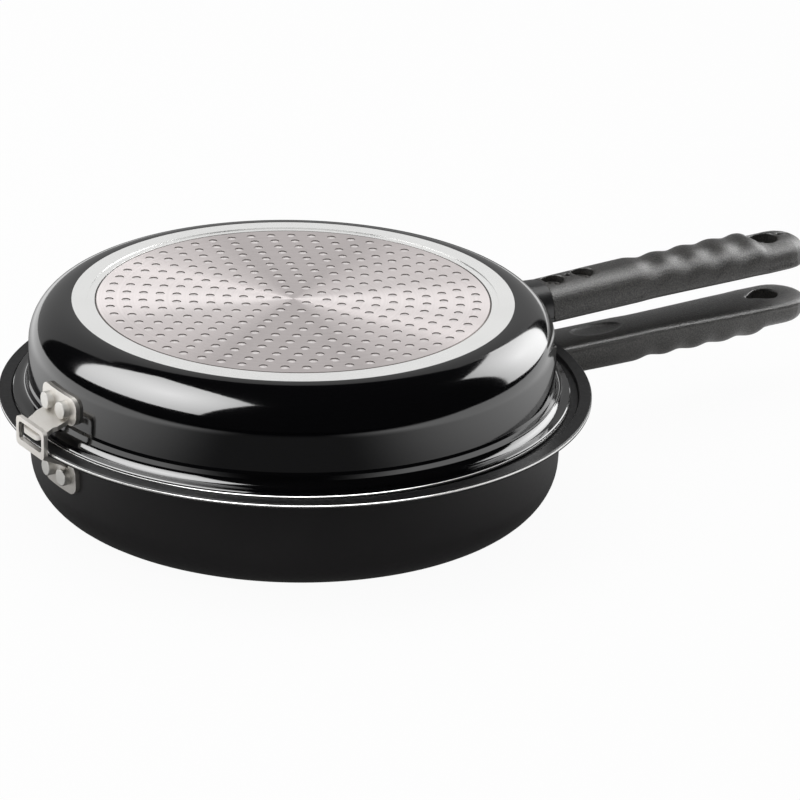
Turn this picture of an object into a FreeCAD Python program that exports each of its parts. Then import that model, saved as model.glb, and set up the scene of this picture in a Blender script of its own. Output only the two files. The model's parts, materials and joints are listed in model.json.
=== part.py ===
import FreeCAD, Part
import math
import os

# Double sided flip pan: two round pans that close rim to rim on a hook hinge.
# Frame: the origin is the centre of the lower pan's base, +X runs along the handles,
# the hinge is at -X and +Z is up. All sizes are in millimetres and all angles in degrees.

# Both pans
wall = 2.5                  # thickness of the pressed side wall and the rim
floor = 4.0                 # thickness of the pan's base
base_shoulder = 34.7        # the lip reaches this far past the flat bare ring of the base
ring_width = 7.2            # flat ring that the pan stands on
step_depth = 0.35           # how far the narrow inner band lies above the ring
band_width = 3.4            # that band, up to the induction disc
disc_thickness = 0.6
disc_gap = 0.3              # joint line round the disc
inner_corner = 17.0         # radius between the floor and the wall inside
rim_bevel = 0.8             # both corners of the bare rim edge are broken by this much

# Lower pan
lower_depth = 50.5          # base to the top of the lip
lip_radius = 134.0          # outside of the lip
lip_reach = 13.0            # how far the lip stands out from the wall
lower_taper = 1.8           # how much narrower the wall is at the base
lip_width = 5.7
ledge_drop = 1.6            # how far the ledge that carries the lid lies under the lip
ledge_slope = 0.6           # the step between lip and ledge leans in by this much
mouth_round = 2.6           # rounding from the ledge into the wall

# Upper pan, upside down on the ledge
upper_depth = 43.8          # base to the underside of the rim
flare_width = 6.9           # how far the rim stands out from the wall
upper_taper = 0.5
lid_play = 2.5              # radial play of the upper rim inside the lip
lid_shift = 2.0             # the hinge holds the upper pan this far off centre
seat_gap = 0.3              # running gap between the ledge and the upper rim
flare_height = 9.0          # the wall bends outward this far from the rim
flare_step = 0.5            # small step line where the flare begins
rim_height = 2.9            # upright edge of the upper rim

# Handles, in their own frame: x from the pan to the tip, z = 0 at the parting ridge
handle_clear = 2.0          # from the outside of the lip to the end of the handle
handle_length = 153.0
handle_tilt = 0.75          # the handle falls away from the rim by this angle
lower_handle_drop = 8.3     # parting ridge under the lip of the lower pan
upper_handle_drop = 11.7    # and above the rim of the upper pan
neck_width = 23.6
grip_width = 28.0
grip_shares = (0.33, 0.8)   # the width grows from neck to grip between these places
crown = 3.8                 # height of the smooth half
crown_power = 2.2           # squareness of the smooth half's section, 2 is an ellipse
belly = 14.7                # depth of the finger half
belly_power = 2.6
groove_power = 2.1          # the section turns rounder in the finger grooves
swell_share = 0.05          # extra depth of the finger half in its middle
thin_share = 0.24           # loss of depth past the last groove
thin_run = 7.0              # length of that step
ridge_lip = 0.5             # overhang of the smooth half at the ridge
ridge_land = 0.9            # upright band above the ridge
groove_depth = 1.1
groove_pitch = 17.0
groove_count = 4
first_groove = 60.0         # from the pan end of the handle to the first finger groove
hang_radius = 6.5           # round end of the hanging hole
hang_length = 11.0          # from the round end's centre to the pointed end
hang_point = 1.6            # rounding of the pointed end
hang_place = 21.0           # from the tip to the centre of the round end
dish_length = 28.0          # thumb dish in the smooth half
dish_width = 13.0
dish_depth = 1.6
dish_place = 31.0
tip_slot_length = 7.0
tip_slot_width = 3.4
tip_slot_depth = 2.0
tip_slot_place = 9.5        # from the tip to the slot's centre

# Handle fixing
tang_width = 13.0
tang_thickness = 2.5
tang_drop = 6.25            # centre of the tang under the parting ridge
tang_reach = 42.0           # how far the tang runs inside the handle
tang_gap = 0.2              # clearance round the tang in its socket
screw_places = (7.0, 24.0)
screw_recess_radius = 5.4
screw_recess_floor = 9.4    # floor of the recess under the parting ridge
screw_head_radius = 4.2
screw_head_height = 2.2
screw_radius = 1.9
cross_width = 1.0           # driver slots in the screw head
cross_depth = 1.1
cross_share = 0.67          # reach of those slots in the head
drain_radius = 1.5          # small hole between the two screws
drain_place = 15.6
drain_depth = 4.0
plate_thickness = 2.0       # bracket sheet on the pan wall
plate_width = 15.0
plate_height = 13.0
plate_corner = 4.0
collar_skin = 1.3           # sheet of the flame guard between pan and handle
collar_flare = 1.6          # how much wider the guard is at the pan

# Rivets
rivet_gap = 0.05            # rivet holes are this much larger in radius
rivet_sink = 0.3            # the heads are formed on to the curved sheet by this much
fixing_rivet_radius = 1.8
fixing_rivet_pitch = 7.5
fixing_head_radius = 2.4
fixing_head_height = 1.4
hinge_rivet_radius = 2.2
hinge_rivet_pitch = 13.0
hinge_head_radius = 3.9
hinge_head_height = 3.4
head_bevel = 0.5
inner_head_radius = 4.0     # low rounded heads inside the pan
inner_head_height = 1.6
inner_top_share = 0.6       # flat part of those heads
inner_round = 2.0

# Hinge
hinge_sheet = 2.0
rim_clear = 0.5             # the slot plate stands this far outside the lip
slot_plate_width = 25.0
slot_plate_low = 4.0        # lower edge under the top of the lip
slot_plate_corner = 2.4
slot_width = 20.5
slot_height = 8.4
slot_bar_low = 3.0          # height of the bar under the slot
slot_bar_top = 2.1          # height of the bar that the hook turns on
slot_corner = 2.0
arm_width = 14.0
arm_notch = 1.6             # slits that let the arm bend out of the plate
lower_plate_width = 28.0
lower_plate_height = 15.0
lower_plate_top = 8.5       # top of the lower plate under the lip
shoulder_height = 3.0       # the plate's shoulders stand this far above the arm's bend
hinge_plate_corner = 5.0
bend_radius = 1.8
hook_gap = 0.4              # clearance between the hook and the corners of the bar
hook_angle = 30.0           # fall of the tongue through the slot
tongue_width = 18.0
tongue_tip = 3.2            # reach of the tongue past the middle of the bar
tongue_corner = 5.0
tongue_back = 4.6           # from the middle of the bar back to the knee of the hook
neck_hook_width = 20.0
upper_plate_width = 30.0
upper_plate_height = 13.0
upper_plate_clear = 1.6     # the upper plate ends this far short of the flare

overrun = 5.0               # extra length of cutting tools
os.makedirs("parts", exist_ok=True)

lip_inner = lip_radius - lip_width
lower_wall_radius = lip_radius - lip_reach
upper_rim_radius = lip_inner - lid_play
upper_wall_radius = upper_rim_radius - flare_width
ring_radius = lip_radius - base_shoulder
step_radius = ring_radius - ring_width
disc_radius = step_radius - band_width
handle_start = lip_radius + handle_clear
ledge_top = lower_depth - ledge_drop
total_height = ledge_top + seat_gap + upper_depth


def vec(x, y, z):
    return FreeCAD.Vector(x, y, z)


def rounded_wire(corners):
    """Closed wire through (point, radius) corners; radius 0 keeps a corner sharp."""
    starts = []
    ends = []
    arcs = []
    for i, (here, radius) in enumerate(corners):
        to_before = (corners[i - 1][0] - here).normalize()
        to_after = (corners[(i + 1) % len(corners)][0] - here).normalize()
        half = to_before.getAngle(to_after) / 2
        reach = radius / math.tan(half)
        starts.append(here + to_before * reach)
        ends.append(here + to_after * reach)
        arc = None
        if radius > 0:
            middle = (to_before + to_after).normalize()
            crest = here + middle * (radius / math.sin(half) - radius)
            arc = Part.Arc(starts[-1], crest, ends[-1]).toShape()
        arcs.append(arc)
    edges = []
    for i, arc in enumerate(arcs):
        if arc is not None:
            edges.append(arc)
        following = starts[(i + 1) % len(corners)]
        if ends[i].distanceToPoint(following) > Part.Vertex(ends[i]).Tolerance:
            edges.append(Part.makeLine(ends[i], following))
    return Part.Wire(edges)


def turned(profile):
    """Solid of revolution about Z of a rounded outline of (r, z, radius) corners."""
    wire = rounded_wire([(vec(r, 0, z), radius) for r, z, radius in profile])
    return Part.Face(wire).revolve(vec(0, 0, 0), vec(0, 0, 1), 360)


def across(outline, low_x, high_x):
    """Prism along X between low_x and high_x of an outline of (y, z, radius) corners."""
    wire = rounded_wire([(vec(low_x, y, z), radius) for y, z, radius in outline])
    return Part.Face(wire).extrude(vec(high_x - low_x, 0, 0))


def upright(outline, low_z, high_z):
    """Prism along Z between low_z and high_z of an outline of (x, y, radius) corners."""
    wire = rounded_wire([(vec(x, y, low_z), radius) for x, y, radius in outline])
    return Part.Face(wire).extrude(vec(0, 0, high_z - low_z))


def rectangle(low_a, high_a, low_b, high_b, radius):
    return [
        (low_a, low_b, radius),
        (high_a, low_b, radius),
        (high_a, high_b, radius),
        (low_a, high_b, radius),
    ]


def box(low, high):
    size = [b - a for a, b in zip(low, high)]
    return Part.makeBox(*size, vec(*low))


def smooth(value, low, high):
    """0 below low, 1 above high and a smooth rise between."""
    share = min(max((value - low) / (high - low), 0), 1)
    return share * share * (3 - 2 * share)


class Pan:
    """Wall and rim sizes of one pan, in its own frame with its base at z = 0."""

    def __init__(self, depth, wall_radius, taper, rim_drop, handle_drop, outline):
        self.depth = depth
        self.wall_radius = wall_radius
        self.taper = taper
        self.wall_top = depth - rim_drop
        self.ridge = depth - handle_drop
        self.outline = outline

    def radius_at(self, z):
        """Outside radius of the conical wall at height z."""
        return self.wall_radius - self.taper * (1 - z / self.wall_top)

    def base_corner(self):
        """Outside corner of the base, with the rounding that ends at the bare ring."""
        slope = math.atan2(self.taper, self.wall_top)
        radius = self.radius_at(0)
        rounding = (radius - ring_radius) * math.tan(math.pi / 4 + slope / 2)
        return (radius, 0, rounding)

    def inside(self):
        """Inside corners of wall and floor, from the mouth to the axis."""
        return [
            (self.radius_at(floor) - wall, floor, inner_corner),
            (0, floor, 0),
        ]

    def solid(self, filled):
        """The pan as a turned shell, or filled up to its rim."""
        outer, mouth = self.outline(self)
        inner = [(0, self.depth, 0)] if filled else mouth + self.inside()
        return turned([(0, 0, 0), self.base_corner()] + outer + inner)

    def skin(self, low_z, high_z, thickness):
        """Sheet of a given thickness that lies on the outside of the wall."""
        low = self.radius_at(low_z)
        high = self.radius_at(high_z)
        return turned([
            (low, low_z, 0),
            (low + thickness, low_z, 0),
            (high + thickness, high_z, 0),
            (high, high_z, 0),
        ])


def rim_edge(radius, low, high):
    """Bare edge of a rim with both of its corners broken."""
    return [
        (radius - rim_bevel, low, 0),
        (radius, low + rim_bevel, 0),
        (radius, high - rim_bevel, 0),
        (radius - rim_bevel, high, 0),
    ]


def lower_outline(pan):
    """Rim of the lower pan: a ledge for the lid inside a raised lip."""
    under_lip = pan.depth - wall
    under_ledge = ledge_top - wall
    outer = [
        (pan.wall_radius, under_ledge, mouth_round),
        (lip_inner - ledge_slope, under_ledge, 0),
        (lip_inner, under_lip, 0),
    ] + rim_edge(lip_radius, under_lip, pan.depth)
    mouth = [
        (lip_inner, pan.depth, 0),
        (lip_inner - ledge_slope, ledge_top, 0),
        (pan.wall_radius - wall, ledge_top, mouth_round),
    ]
    return outer, mouth


def upper_outline(pan):
    """Rim of the upper pan: a small step, a flare and an upright bare edge."""
    stepped = pan.wall_radius + flare_step
    outer = [
        (pan.wall_radius, pan.wall_top, 0),
        (stepped, pan.wall_top + flare_step, 0),
        (stepped, pan.depth - rim_height, mouth_round),
    ] + rim_edge(upper_rim_radius, pan.depth - rim_height, pan.depth)
    mouth = [
        (stepped - wall, pan.depth, mouth_round),
        (stepped - wall, pan.wall_top + flare_step, 0),
        (pan.wall_radius - wall, pan.wall_top, 0),
    ]
    return outer, mouth


lower_pan = Pan(
    lower_depth, lower_wall_radius, lower_taper, ledge_drop + wall, lower_handle_drop, lower_outline)
upper_pan = Pan(
    upper_depth, upper_wall_radius, upper_taper, flare_height, upper_handle_drop, upper_outline)


def disc_seat():
    """Shallow recess in the base: the inner band, and the deeper seat of the disc."""
    band = Part.makeCylinder(step_radius, step_depth)
    seat = Part.makeCylinder(disc_radius + disc_gap, step_depth + disc_thickness)
    return band.fuse(seat)


def induction_disc():
    return Part.makeCylinder(disc_radius, disc_thickness, vec(0, 0, step_depth))


# Handle shape

def half_width(x):
    """Half width of the handle in plan: a neck, a wider grip and a round tip."""
    low, high = grip_shares
    wide = smooth(x, handle_length * low, handle_length * high)
    width = neck_width + (grip_width - neck_width) * wide
    return width / 2 * end_share(x)


def end_share(x):
    """Falls from 1 to 0 along a quarter ellipse in the last stretch of the handle."""
    reach = grip_width / 2
    past = max(x - (handle_length - reach), 0) / reach
    return math.sqrt(max(1 - past * past, 0))


def belly_depth(x):
    """Depth of the finger half, with its grooves and the thin end round the hole."""
    groove_end = first_groove + groove_pitch * (groove_count - 1 / 2)
    thin = thin_share * smooth(x, groove_end, groove_end + thin_run)
    swell = swell_share * math.sin(math.pi * min(x / groove_end, 1))
    depth = belly * (1 - thin + swell) - groove_depth * groove_share(x)
    return depth * math.sqrt(end_share(x))


def groove_share(x):
    """1 in the middle of a finger groove, 0 between grooves and away from them."""
    turns = (x - first_groove) / groove_pitch
    inside = -1 / 2 < turns < groove_count - 1 / 2
    return (1 + math.cos(2 * math.pi * turns)) / 2 if inside else 0


def handle_stations():
    """Places along the handle for its cross sections: neck, grooves and round tip."""
    reach = grip_width / 2
    straight = handle_length - reach
    neck_end = first_groove - groove_pitch / 2
    neck_steps = 4
    groove_steps = 5 * (groove_count + 1)
    tip_steps = 6
    places = [neck_end * i / neck_steps for i in range(neck_steps)]
    places += [neck_end + (straight - neck_end) * i / groove_steps for i in range(groove_steps)]
    places += [straight + reach * math.sin(math.pi / 2 * i / tip_steps) for i in range(tip_steps)]
    return places + [handle_length - reach * (1 - math.sin(math.pi / 2 * (1 - 1 / tip_steps / 2)))]


def arch_points(x, half, height, power, low):
    """Points on half of a rounded cross section at x, from one side to the other."""
    points = []
    steps = 8
    for i in range(steps + 1):
        angle = math.pi * i / steps
        across_share = abs(math.cos(angle)) ** (2 / power)
        up_share = abs(math.sin(angle)) ** (2 / power)
        side = -1 if i < steps / 2 else 1
        points.append(vec(x, side * half * across_share, low + height * up_share))
    return points


def running_lengths(points):
    lengths = [0]
    for before, after in zip(points, points[1:]):
        lengths.append(lengths[-1] + before.distanceToPoint(after))
    return lengths


belly_spacing = running_lengths(arch_points(0, neck_width / 2, belly, belly_power, 0))
crown_spacing = running_lengths(arch_points(0, neck_width / 2, crown, crown_power, 0))


def arch(points, spacing):
    """Spline through the points; all sections share one spacing, so the loft runs true."""
    curve = Part.BSplineCurve()
    curve.interpolate(Points=points, Parameters=spacing)
    return curve.toShape()


def section(x, margin):
    """Cross section at x, grown by margin: finger half below, overhanging smooth half above."""
    share = math.sqrt(end_share(x))
    half = half_width(x) + margin
    brim = half + ridge_lip * share
    land = ridge_land * share
    power = belly_power + (groove_power - belly_power) * groove_share(x)
    below = arch(arch_points(x, half, -belly_depth(x) - margin, power, 0), belly_spacing)
    crown_height = (crown - ridge_land) * share + margin
    above = arch(arch_points(x, brim, crown_height, crown_power, land), crown_spacing)
    edges = [below]
    for side in (1, -1):
        edges.append(Part.makeLine(vec(x, side * half, 0), vec(x, side * brim, 0)))
        edges.append(Part.makeLine(vec(x, side * brim, 0), vec(x, side * brim, land)))
    return Part.Wire(Part.__sortEdges__(edges + [above]))


def hang_hole():
    """Teardrop hole through the end of the handle."""
    centre = handle_length - hang_place
    point = centre - hang_length + hang_point
    lean = math.asin((hang_radius - hang_point) / (centre - point))
    sides = []
    for x, radius in ((centre, hang_radius), (point, hang_point)):
        sides.append(vec(x - radius * math.sin(lean), radius * math.cos(lean), 0))
    edges = [
        Part.Arc(flipped(sides[0]), vec(centre + hang_radius, 0, 0), sides[0]).toShape(),
        Part.makeLine(sides[0], sides[1]),
        Part.Arc(sides[1], vec(point - hang_point, 0, 0), flipped(sides[1])).toShape(),
        Part.makeLine(flipped(sides[1]), flipped(sides[0])),
    ]
    prism = Part.Face(Part.Wire(edges)).extrude(vec(0, 0, 2 * (belly + overrun)))
    return moved(prism, vec(0, 0, -belly - overrun))


def flipped(point):
    return vec(point.x, -point.y, point.z)


def moved(shape, offset):
    copy = shape.copy()
    copy.translate(offset)
    return copy


def thumb_dish():
    """Shallow oval dish in the smooth half, cut by a stretched ball."""
    ball = Part.makeSphere(dish_length / 2)
    stretch = FreeCAD.Matrix()
    stretch.scale(1, dish_width / dish_length, 2 * dish_depth / dish_length)
    return moved(ball.transformGeometry(stretch), vec(dish_place, 0, crown))


def screw_recesses():
    shapes = []
    for place in screw_places:
        height = belly + overrun - screw_recess_floor
        shapes.append(Part.makeCylinder(screw_recess_radius, height, vec(place, 0, -belly - overrun)))
        floor_centre = vec(place, 0, -screw_recess_floor)
        shapes.append(Part.makeCylinder(screw_radius, screw_recess_floor, floor_centre))
    height = drain_depth + overrun
    shapes.append(Part.makeCylinder(drain_radius, height, vec(drain_place, 0, -belly - overrun)))
    return shapes


def tip_slot():
    """Small blind slot between the hanging hole and the tip, in the finger half."""
    place = handle_length - tip_slot_place
    reach = tip_slot_length / 2
    half = tip_slot_width / 2
    outline = rectangle(place - reach, place + reach, -half, half, half - rivet_gap)
    return upright(outline, -belly, tip_slot_depth - belly_depth(place))


def tang_space(gap):
    half = tang_width / 2 + gap
    low = -tang_drop - tang_thickness / 2 - gap
    high = -tang_drop + tang_thickness / 2 + gap
    return box((-overrun, -half, low), (tang_reach + gap, half, high))


def handle_shape():
    grip = Part.makeLoft([section(x, 0) for x in handle_stations()], True, True)
    cuts = [hang_hole(), thumb_dish(), tip_slot(), tang_space(tang_gap)] + screw_recesses()
    return grip.cut(cuts)


def seated(shape, pan):
    """Handle frame to the pan's own frame."""
    copy = shape.copy()
    copy.rotate(vec(0, 0, 0), vec(0, 1, 0), handle_tilt)
    copy.translate(vec(handle_start, 0, pan.ridge))
    return copy


def collar_shape(pan, filled_pan):
    """Flame guard: a short tapering sleeve from the pan wall to the handle."""
    length = handle_start - pan.radius_at(pan.ridge) + overrun

    def sleeve(margin):
        far = moved(section(0, margin + collar_flare), vec(-length, 0, 0))
        return Part.makeLoft([far, section(0, margin)], True, True)

    sheet = sleeve(0).cut(sleeve(-collar_skin))
    return seated(sheet, pan).cut(filled_pan)


def bracket_shape(pan, filled_pan):
    """Curved plate on the pan wall with a flat tang that runs into the handle."""
    middle = pan.ridge - tang_drop
    skin = pan.skin(middle - plate_height, middle + plate_height, plate_thickness)
    half = plate_width / 2
    outline = rectangle(-half, half, middle - plate_height / 2, middle + plate_height / 2, plate_corner)
    plate = skin.common(across(outline, 0, handle_start))
    tang = seated(tang_space(0), pan)
    reach = handle_start - pan.radius_at(middle)
    root = seated(moved(tang_space(0), vec(overrun - reach, 0, 0)), pan)
    return plate.fuse([tang, root]).cut(filled_pan).removeSplitter()


def rivet_shape(place, direction, radius, head, sheet):
    """Rivet through wall and sheet: a drum head outside and a low round head inside."""
    head_radius, head_height = head
    outer = sheet - rivet_sink
    inner = rivet_sink - wall
    rivet = turned([
        (0, inner - inner_head_height, 0),
        (inner_head_radius * inner_top_share, inner - inner_head_height, inner_round),
        (inner_head_radius, inner, 0),
        (radius, inner, 0),
        (radius, outer, 0),
        (head_radius, outer, 0),
        (head_radius, outer + head_height, head_bevel),
        (0, outer + head_height, 0),
    ])
    rivet.Placement = FreeCAD.Placement(place, FreeCAD.Rotation(vec(0, 0, 1), direction))
    return rivet


def wall_rivets(pan, places, radius, head, sheet):
    """Rivets through the wall at (angle, z) places, and the holes that they need."""
    rivets = []
    holes = []
    for angle, z in places:
        direction = vec(math.cos(angle), math.sin(angle), 0)
        place = direction * pan.radius_at(z) + vec(0, 0, z)
        rivets.append(rivet_shape(place, direction, radius, head, sheet))
        start = place - direction * (wall + overrun)
        length = wall + sheet + 2 * overrun
        holes.append(Part.makeCylinder(radius + rivet_gap, length, start, direction))
    return rivets, holes


def screw_shape(place, pan):
    """Screw with a crossed head, driven up through the handle into the tang."""
    top = -tang_drop + tang_thickness / 2
    seat = vec(place, 0, -screw_recess_floor)
    shank = Part.makeCylinder(screw_radius, top + screw_recess_floor, seat)
    head = Part.makeCylinder(screw_head_radius, screw_head_height, seat, vec(0, 0, -1))
    face = -screw_recess_floor - screw_head_height
    reach = screw_head_radius * cross_share
    half = cross_width / 2
    slots = [
        box((place - reach, -half, face), (place + reach, half, face + cross_depth)),
        box((place - half, -reach, face), (place + half, reach, face + cross_depth)),
    ]
    return seated(shank.fuse(head).cut(slots), pan)


def screw_holes(pan):
    """Holes in the tang that the two screws hold in."""
    shapes = []
    for place in screw_places:
        hole = Part.makeCylinder(screw_radius, belly, vec(place, 0, -belly))
        shapes.append(seated(hole, pan))
    return shapes


def pan_kit(pan, hinge_holes):
    """One pan with its disc, handle and fixings, in the pan's own frame."""
    filled_pan = pan.solid(True)
    middle = pan.ridge - tang_drop
    spots = [(0, middle + fixing_rivet_pitch / 2), (0, middle - fixing_rivet_pitch / 2)]
    head = (fixing_head_radius, fixing_head_height)
    rivets, holes = wall_rivets(pan, spots, fixing_rivet_radius, head, plate_thickness)
    body = pan.solid(False).cut([disc_seat()] + holes + hinge_holes)
    bracket = bracket_shape(pan, filled_pan).cut(holes + screw_holes(pan))
    kit = {
        "pan_body": body,
        "induction_disc": induction_disc(),
        "handle_bracket": bracket,
        "handle_collar": collar_shape(pan, filled_pan),
        "handle": seated(handle_shape(), pan),
        "bracket_rivet_high": rivets[0].cut([body, bracket]),
        "bracket_rivet_low": rivets[1].cut([body, bracket]),
    }
    for name, place in zip(("near", "far"), screw_places):
        kit["handle_screw_" + name] = screw_shape(place, pan)
    return kit


def to_row(shape):
    """Upper pan's own frame to the row's frame: turned over on to the ledge."""
    copy = shape.copy()
    copy.rotate(vec(0, 0, 0), vec(1, 0, 0), 180)
    copy.translate(vec(-lid_shift, 0, total_height))
    return copy


# Hinge

plate_face = lip_radius + rim_clear               # inner face of the slot plate, as a distance along -X
slot_plate_bottom = lower_depth - slot_plate_low
slot_floor = slot_plate_bottom + slot_bar_low
slot_roof = slot_floor + slot_height
bar_x = -(plate_face + hinge_sheet / 2)
bar_z = slot_roof + slot_bar_top / 2


def strip(path, width):
    """Bent sheet of the hinge's thickness along a path of (x, z) points, width across Y."""
    count = len(path)
    sides = ([], [])
    for i, (x, z) in enumerate(path):
        before = path[max(i - 1, 0)]
        after = path[min(i + 1, count - 1)]
        normals = []
        for start, end in ((before, (x, z)), ((x, z), after)):
            length = math.hypot(end[0] - start[0], end[1] - start[1])
            if length > 0:
                normals.append(((start[1] - end[1]) / length, (end[0] - start[0]) / length))
        first = normals[0]
        last = normals[-1]
        lean = 1 + first[0] * last[0] + first[1] * last[1]
        mitre = ((first[0] + last[0]) / lean, (first[1] + last[1]) / lean)
        turn = first[0] * last[1] - first[1] * last[0]
        for side, sign in zip(sides, (1, -1)):
            reach = sign * hinge_sheet / 2
            point = vec(x + mitre[0] * reach, -width / 2, z + mitre[1] * reach)
            inner = turn * sign > 0
            radius = bend_radius if inner else bend_radius + hinge_sheet
            side.append((point, radius if len(normals) > 1 else 0))
    corners = sides[0] + sides[1][::-1]
    return Part.Face(rounded_wire(corners)).extrude(vec(0, width, 0))


def hinge_rivet_places(pan, z):
    angle = math.asin(hinge_rivet_pitch / 2 / pan.radius_at(z))
    return [(math.pi - angle, z), (math.pi + angle, z)]


def lower_hinge():
    """Slotted bracket: a plate on the wall, an arm under the lip and the slot plate."""
    pan = lower_pan
    plate_top = pan.depth - lower_plate_top
    plate_low = plate_top - lower_plate_height
    half = lower_plate_width / 2
    skin = pan.skin(plate_low - overrun, plate_top + overrun, hinge_sheet)
    outline = rectangle(-half, half, plate_low, plate_top, hinge_plate_corner)
    bend_z = plate_top - shoulder_height
    reach = arm_width / 2 + arm_notch
    notch = box((-plate_face, -reach, bend_z), (0, reach, plate_top + overrun))
    plate = skin.common(across(outline, -plate_face, 0)).cut(notch)
    wall_x = -(pan.radius_at(plate_top) + hinge_sheet / 2)
    arm = strip([
        (wall_x, plate_low + lower_plate_height / 2),
        (wall_x, bend_z + hinge_sheet / 2),
        (bar_x, slot_plate_bottom),
        (bar_x, slot_floor),
    ], arm_width)
    half_slot_plate = slot_plate_width / 2
    top = slot_roof + slot_bar_top
    slot_plate = across(
        rectangle(-half_slot_plate, half_slot_plate, slot_plate_bottom, top, slot_plate_corner),
        -plate_face - hinge_sheet, -plate_face)
    slot = across(
        rectangle(-slot_width / 2, slot_width / 2, slot_floor, slot_roof, slot_corner),
        -plate_face - hinge_sheet - overrun, -plate_face + overrun)
    spots = hinge_rivet_places(pan, plate_low + lower_plate_height / 2)
    head = (hinge_head_radius, hinge_head_height)
    rivets, holes = wall_rivets(pan, spots, hinge_rivet_radius, head, hinge_sheet)
    bracket = plate.fuse([arm, slot_plate]).cut(slot)
    bracket = bracket.cut([pan.solid(True)] + holes).removeSplitter()
    return bracket, rivets, holes


def tongue_path():
    """Knee and tip of the hook's middle line, from the bar that it turns on."""
    slope = math.radians(hook_angle)
    clear = math.hypot(hinge_sheet / 2, slot_bar_top / 2) + hook_gap + hinge_sheet / 2
    foot = (bar_x + clear * math.sin(slope), bar_z - clear * math.cos(slope))
    knee = (foot[0] + tongue_back * math.cos(slope), foot[1] + tongue_back * math.sin(slope))
    reach = tongue_tip + hinge_sheet
    tip = (foot[0] - reach * math.cos(slope), foot[1] - reach * math.sin(slope))
    return knee, tip


def upper_hinge():
    """Hook: a plate on the upper wall that bends out and down through the slot."""
    pan = upper_pan
    plate_high = pan.wall_top - upper_plate_clear
    plate_low = plate_high - upper_plate_height
    half = upper_plate_width / 2
    skin = pan.skin(plate_low - overrun, plate_high + overrun, hinge_sheet)
    outline = rectangle(-half, half, plate_low, plate_high, hinge_plate_corner)
    plate = to_row(skin.common(across(outline, -plate_face, 0)))
    spots = hinge_rivet_places(pan, plate_low + upper_plate_height / 2)
    head = (hinge_head_radius, hinge_head_height)
    rivets, holes = wall_rivets(pan, spots, hinge_rivet_radius, head, hinge_sheet)
    wall_x = -(pan.radius_at(plate_high) + hinge_sheet / 2) - lid_shift
    knee, tip = tongue_path()
    plate_bottom = total_height - plate_high
    path = [
        (wall_x, plate_bottom + upper_plate_height / 2),
        (wall_x, plate_bottom + hinge_sheet),
        knee,
        tip,
    ]
    end = path[-1][0] + hinge_sheet
    sides = []
    for side in (-1, 1):
        sides.append([
            (end, side * tongue_width / 2, tongue_corner),
            (knee[0], side * tongue_width / 2, 0),
            (knee[0] + hinge_sheet, side * neck_hook_width / 2, 0),
            (0, side * neck_hook_width / 2, 0),
        ])
    plan = upright(sides[0] + sides[1][::-1], slot_plate_bottom, total_height)
    tongue = strip(path, neck_hook_width).common(plan)
    hook = plate.fuse(tongue).cut([to_row(pan.solid(True))] + [to_row(hole) for hole in holes])
    return hook.removeSplitter(), rivets, holes


def build():
    nodes = {}
    bracket, lower_rivets, lower_holes = lower_hinge()
    hook, upper_rivets, upper_holes = upper_hinge()
    for name, shape in pan_kit(lower_pan, lower_holes).items():
        nodes["lower_" + name] = shape
    for name, shape in pan_kit(upper_pan, upper_holes).items():
        nodes["upper_" + name] = to_row(shape)
    nodes["lower_hinge_bracket"] = bracket
    nodes["upper_hinge_hook"] = hook
    for side, rivet in zip(("left", "right"), lower_rivets):
        nodes["lower_hinge_rivet_" + side] = rivet.cut([nodes["lower_pan_body"], bracket])
    for side, rivet in zip(("left", "right"), upper_rivets):
        nodes["upper_hinge_rivet_" + side] = to_row(rivet).cut([nodes["upper_pan_body"], hook])
    return nodes


for name, shape in build().items():
    shape.exportStep("parts/" + name + ".step")
    print(name, "solids", len(shape.Solids), "valid", shape.isValid(), "volume", round(shape.Volume, 1))
print("hinge axis", bar_x, bar_z, "height", total_height)
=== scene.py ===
import bpy
import json
import math
from mathutils import Matrix, Vector
from mathutils.geometry import delaunay_2d_cdt
from mathutils.kdtree import KDTree

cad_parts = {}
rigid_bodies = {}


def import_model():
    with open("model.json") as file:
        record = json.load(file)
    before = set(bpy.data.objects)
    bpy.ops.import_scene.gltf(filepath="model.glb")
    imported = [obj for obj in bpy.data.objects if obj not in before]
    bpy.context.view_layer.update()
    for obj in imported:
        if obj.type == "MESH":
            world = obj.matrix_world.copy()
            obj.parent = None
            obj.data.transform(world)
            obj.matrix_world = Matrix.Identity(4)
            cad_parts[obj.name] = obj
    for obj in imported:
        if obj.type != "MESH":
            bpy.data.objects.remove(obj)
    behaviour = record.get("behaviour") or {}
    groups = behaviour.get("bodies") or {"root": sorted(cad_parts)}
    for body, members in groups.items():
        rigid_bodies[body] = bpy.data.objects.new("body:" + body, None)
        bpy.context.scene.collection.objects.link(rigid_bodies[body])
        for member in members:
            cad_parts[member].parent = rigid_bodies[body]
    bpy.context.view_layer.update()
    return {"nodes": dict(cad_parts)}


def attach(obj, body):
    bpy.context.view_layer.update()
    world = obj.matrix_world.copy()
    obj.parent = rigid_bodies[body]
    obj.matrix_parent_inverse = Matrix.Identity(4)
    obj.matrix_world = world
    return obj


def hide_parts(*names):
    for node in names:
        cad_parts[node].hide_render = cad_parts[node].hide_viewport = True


# Double sided flip pan: the turned shells of both pans with their bare rings and bands,
# the dimpled base discs, the softened handles, all finishes and the studio.
# Lengths are in metres and angles in degrees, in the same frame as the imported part:
# the origin is the centre of the lower pan's base, +X runs along the handles, +Z is up.

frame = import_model()
MM = 0.001
TINY = 0.0000001

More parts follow.
